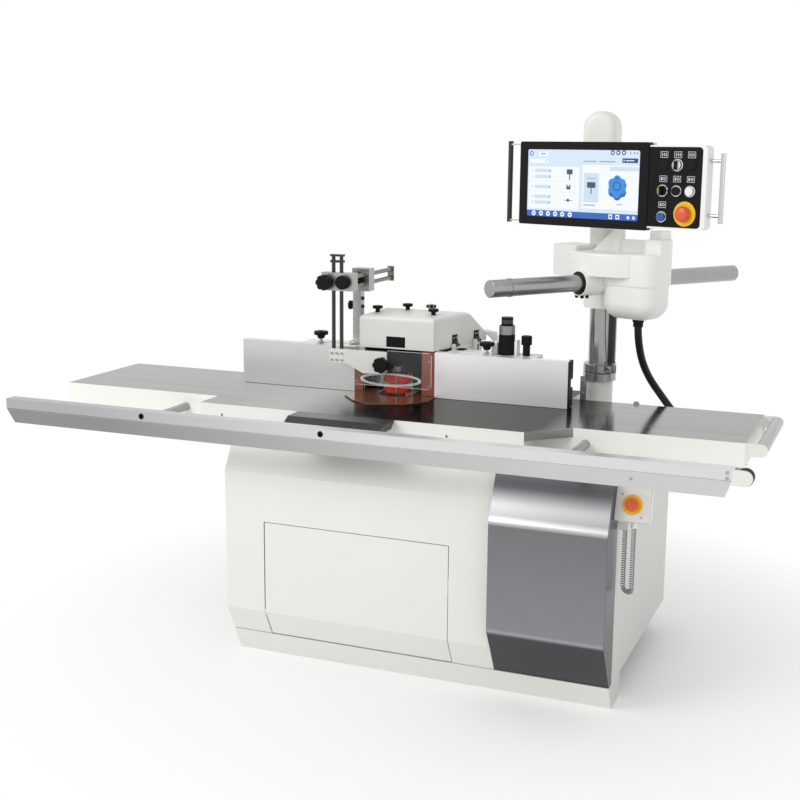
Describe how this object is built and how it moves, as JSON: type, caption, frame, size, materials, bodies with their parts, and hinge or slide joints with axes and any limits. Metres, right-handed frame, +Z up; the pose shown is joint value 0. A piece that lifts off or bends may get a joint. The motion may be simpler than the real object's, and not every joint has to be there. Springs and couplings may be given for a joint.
{
  "type": "spindle shaper",
  "caption": "Long-table spindle shaper with a hooded fence and guard over its cutter, a sliding front support bar and an overhead head with feeder tube and control panel.",
  "frame": {"origin": "middle of the base footprint on the floor, the centre of the floor anchor holes", "axes": "+X along the table to the right, +Y from the operator to the rear, +Z up"},
  "size_m": [2.578, 1.311, 1.911],
  "materials": {
    "white_paint": "satin off-white powder coat",
    "machined_iron": "ground and polished top, painted sides",
    "satin_steel": "brushed",
    "bright_steel": "polished",
    "machine_steel": "turned",
    "satin_aluminium": "satin anodised",
    "white_casting": "off-white paint on a casting",
    "white_case": "satin",
    "black_plastic": "fine texture",
    "brown_phenolic": "glossy laminate",
    "clear_acrylic": "clear",
    "red_paint": "gloss",
    "red_plastic": "gloss",
    "white_plastic": "gloss",
    "blue_plastic": "gloss",
    "black_rubber": "matt",
    "grey_rubber": "satin",
    "motor_paint": "matt paint"
  },
  "bodies": {
    "frame": {"base_cabinet": "white_paint", "front_panel": "white_paint", "steel_cover": "satin_steel", "centre_table": "machined_iron", "left_extension": "machined_iron", "right_extension": "machined_iron", "front_lip": "satin_aluminium", "end_roller_brackets": "white_paint", "lift_frame": "machine_steel", "column_foot": "white_paint", "column_tube": "bright_steel", "estop_box": "white_paint", "cable_glands": "black_plastic", "hose": "black_rubber", "estop_cord": "grey_rubber"},
    "door": {"front_door": "white_paint"},
    "bar": {"front_bar": "satin_aluminium", "bar_rods": "bright_steel", "bar_end_bracket": "white_paint"},
    "bar_wheel": {"bar_roller": "black_plastic"},
    "table_wheel": {"end_roller": "bright_steel"},
    "lift": {"spindle_quill": "machine_steel", "drive_motor": "motor_paint", "drive_belt": "black_rubber"},
    "spindle": {"spindle_shaft": "machine_steel", "cutter_head": "red_paint"},
    "motor_wheel": {"motor_pulley": "machine_steel"},
    "fence": {"fence_carriage": "white_casting", "gap_apron": "brown_phenolic", "guard_post": "satin_aluminium"},
    "fence_left": {"left_fence": "satin_aluminium", "left_gap_plate": "brown_phenolic"},
    "fence_right": {"right_fence": "satin_aluminium", "right_gap_plate": "brown_phenolic"},
    "lock_left": {"left_fence_lock": "black_plastic"},
    "lock_right": {"right_fence_lock": "black_plastic"},
    "dial": {"depth_dial": "black_plastic"},
    "fine": {"fine_knob": "black_plastic"},
    "hood_body": {"hood": "white_paint", "hood_knobs": "black_plastic"},
    "arm": {"guard_arm": "satin_aluminium"},
    "guard": {"guard_rods": "bright_steel", "guard_bracket": "white_paint", "presser_finger": "clear_acrylic"},
    "height_knob": {"guard_height_knob": "black_plastic"},
    "depth_knob": {"guard_depth_knob": "black_plastic"},
    "finger_knob": {"presser_knob": "black_plastic"},
    "head": {"head_casting": "white_casting", "hose_gland": "black_plastic", "mast": "white_paint"},
    "feeder": {"feeder_tube": "satin_aluminium"},
    "panel": {"panel_case": "white_case", "panel_handles": "black_plastic"},
    "mode": {"mode_selector": "black_plastic"},
    "axis": {"axis_selector": "black_plastic"},
    "stop": {"stop_button": "black_plastic"},
    "start": {"start_button": "white_plastic"},
    "reset": {"reset_button": "blue_plastic"},
    "panel_stop": {"panel_estop": "red_plastic"},
    "base_stop": {"base_estop": "red_plastic"}
  },
  "joints": [
    {"name": "door_hinge", "type": "hinge", "parent": "frame", "child": "door", "pos_m": [-0.56, -0.5, 0.35], "axis": [0, 0, -1], "range_deg": [0, 90]},
    {"name": "bar_slide", "type": "slide", "parent": "frame", "child": "bar", "axis": [0, 1, 0], "range_m": [-0.22, 0.025]},
    {"name": "bar_roller_spin", "type": "hinge", "parent": "bar", "child": "bar_wheel", "pos_m": [1.087, -0.6725, 0.875], "axis": [0, 1, 0], "continuous": true},
    {"name": "end_roller_spin", "type": "hinge", "parent": "frame", "child": "table_wheel", "pos_m": [1.09, -0.114, 0.879], "axis": [0, 1, 0], "continuous": true},
    {"name": "spindle_lift", "type": "slide", "parent": "frame", "child": "lift", "axis": [0, 0, 1], "range_m": [-0.11, 0.06]},
    {"name": "spindle_spin", "type": "hinge", "parent": "lift", "child": "spindle", "pos_m": [-0.234, -0.04, 0.65], "axis": [0, 0, 1], "continuous": true},
    {"name": "motor_spin", "type": "hinge", "parent": "lift", "child": "motor_wheel", "pos_m": [0.11, -0.04, 0.42], "axis": [0, 0, 1], "continuous": true},
    {"name": "fence_slide", "type": "slide", "parent": "frame", "child": "fence", "axis": [0, 1, 0], "range_m": [-0.1, 0.02]},
    {"name": "left_fence_slide", "type": "slide", "parent": "fence", "child": "fence_left", "axis": [-1, 0, 0], "range_m": [0, 0.1]},
    {"name": "right_fence_slide", "type": "slide", "parent": "fence", "child": "fence_right", "axis": [1, 0, 0], "range_m": [0, 0.1]},
    {"name": "left_lock_turn", "type": "hinge", "parent": "fence", "child": "lock_left", "pos_m": [-0.56, -0.008, 1.09], "axis": [0, 0, 1], "range_deg": [0, 270]},
    {"name": "right_lock_turn", "type": "hinge", "parent": "fence", "child": "lock_right", "pos_m": [0.091, -0.008, 1.09], "axis": [0, 0, 1], "range_deg": [0, 270]},
    {"name": "depth_dial_turn", "type": "hinge", "parent": "fence", "child": "dial", "pos_m": [0.152, 0.034, 1.12], "axis": [0, 0, 1], "continuous": true},
    {"name": "fine_knob_turn", "type": "hinge", "parent": "fence", "child": "fine", "pos_m": [0.225, 0.034, 1.1], "axis": [0, 0, 1], "continuous": true},
    {"name": "hood_hinge", "type": "hinge", "parent": "fence", "child": "hood_body", "pos_m": [-0.08222, -0.06398, 1.075], "axis": [0.2198, 0.9755, 0], "range_deg": [0, 95]},
    {"name": "guard_depth", "type": "slide", "parent": "fence", "child": "arm", "axis": [0, 1, 0], "range_m": [-0.08, 0]},
    {"name": "guard_height", "type": "slide", "parent": "arm", "child": "guard", "axis": [0, 0, 1], "range_m": [-0.03, 0.2]},
    {"name": "guard_height_lock", "type": "hinge", "parent": "arm", "child": "height_knob", "pos_m": [-0.48, -0.14, 1.305], "axis": [0, 1, 0], "range_deg": [0, 270]},
    {"name": "guard_depth_lock", "type": "hinge", "parent": "fence", "child": "depth_knob", "pos_m": [-0.425, 0, 1.305], "axis": [0, 1, 0], "range_deg": [0, 270]},
    {"name": "presser_lock", "type": "hinge", "parent": "guard", "child": "finger_knob", "pos_m": [-0.256, -0.14, 1.021], "axis": [0, 1, 0], "range_deg": [0, 270]},
    {"name": "head_lift", "type": "slide", "parent": "frame", "child": "head", "axis": [0, 0, 1], "range_m": [-0.14, 0.1], "deforming": ["hose"]},
    {"name": "feeder_slide", "type": "slide", "parent": "head", "child": "feeder", "axis": [0.575, 0.8181, 0], "range_m": [-0.1, 0.2]},
    {"name": "panel_swivel", "type": "hinge", "parent": "head", "child": "panel", "pos_m": [0.51855, 0.129, 1.573], "axis": [0, 0, 1], "range_deg": [-15, 15]},
    {"name": "mode_turn", "type": "hinge", "parent": "panel", "child": "mode", "pos_m": [0.75003, -0.098, 1.734], "axis": [0.3551, 0.9348, 0], "range_deg": [-45, 45]},
    {"name": "axis_turn", "type": "hinge", "parent": "panel", "child": "axis", "pos_m": [0.70235, -0.07989, 1.652], "axis": [0.3551, 0.9348, 0], "range_deg": [-45, 45]},
    {"name": "stop_press", "type": "slide", "parent": "panel", "child": "stop", "axis": [0.3551, 0.9348, 0], "range_m": [0, 0.005], "stiffness_N_per_m": 600},
    {"name": "start_press", "type": "slide", "parent": "panel", "child": "start", "axis": [0.3551, 0.9348, 0], "range_m": [0, 0.005], "stiffness_N_per_m": 600},
    {"name": "reset_press", "type": "slide", "parent": "panel", "child": "reset", "axis": [0.3551, 0.9348, 0], "range_m": [0, 0.005], "stiffness_N_per_m": 600},
    {"name": "panel_stop_press", "type": "slide", "parent": "panel", "child": "panel_stop", "axis": [0.3551, 0.9348, 0], "range_m": [0, 0.005], "stiffness_N_per_m": 1500},
    {"name": "base_stop_press", "type": "slide", "parent": "frame", "child": "base_stop", "axis": [0, 0.9511, -0.309], "range_m": [0, 0.005], "stiffness_N_per_m": 1500}
  ],
  "couplings": [
    {"joint": "motor_spin", "follows": "spindle_spin", "ratio": 1}
  ]
}
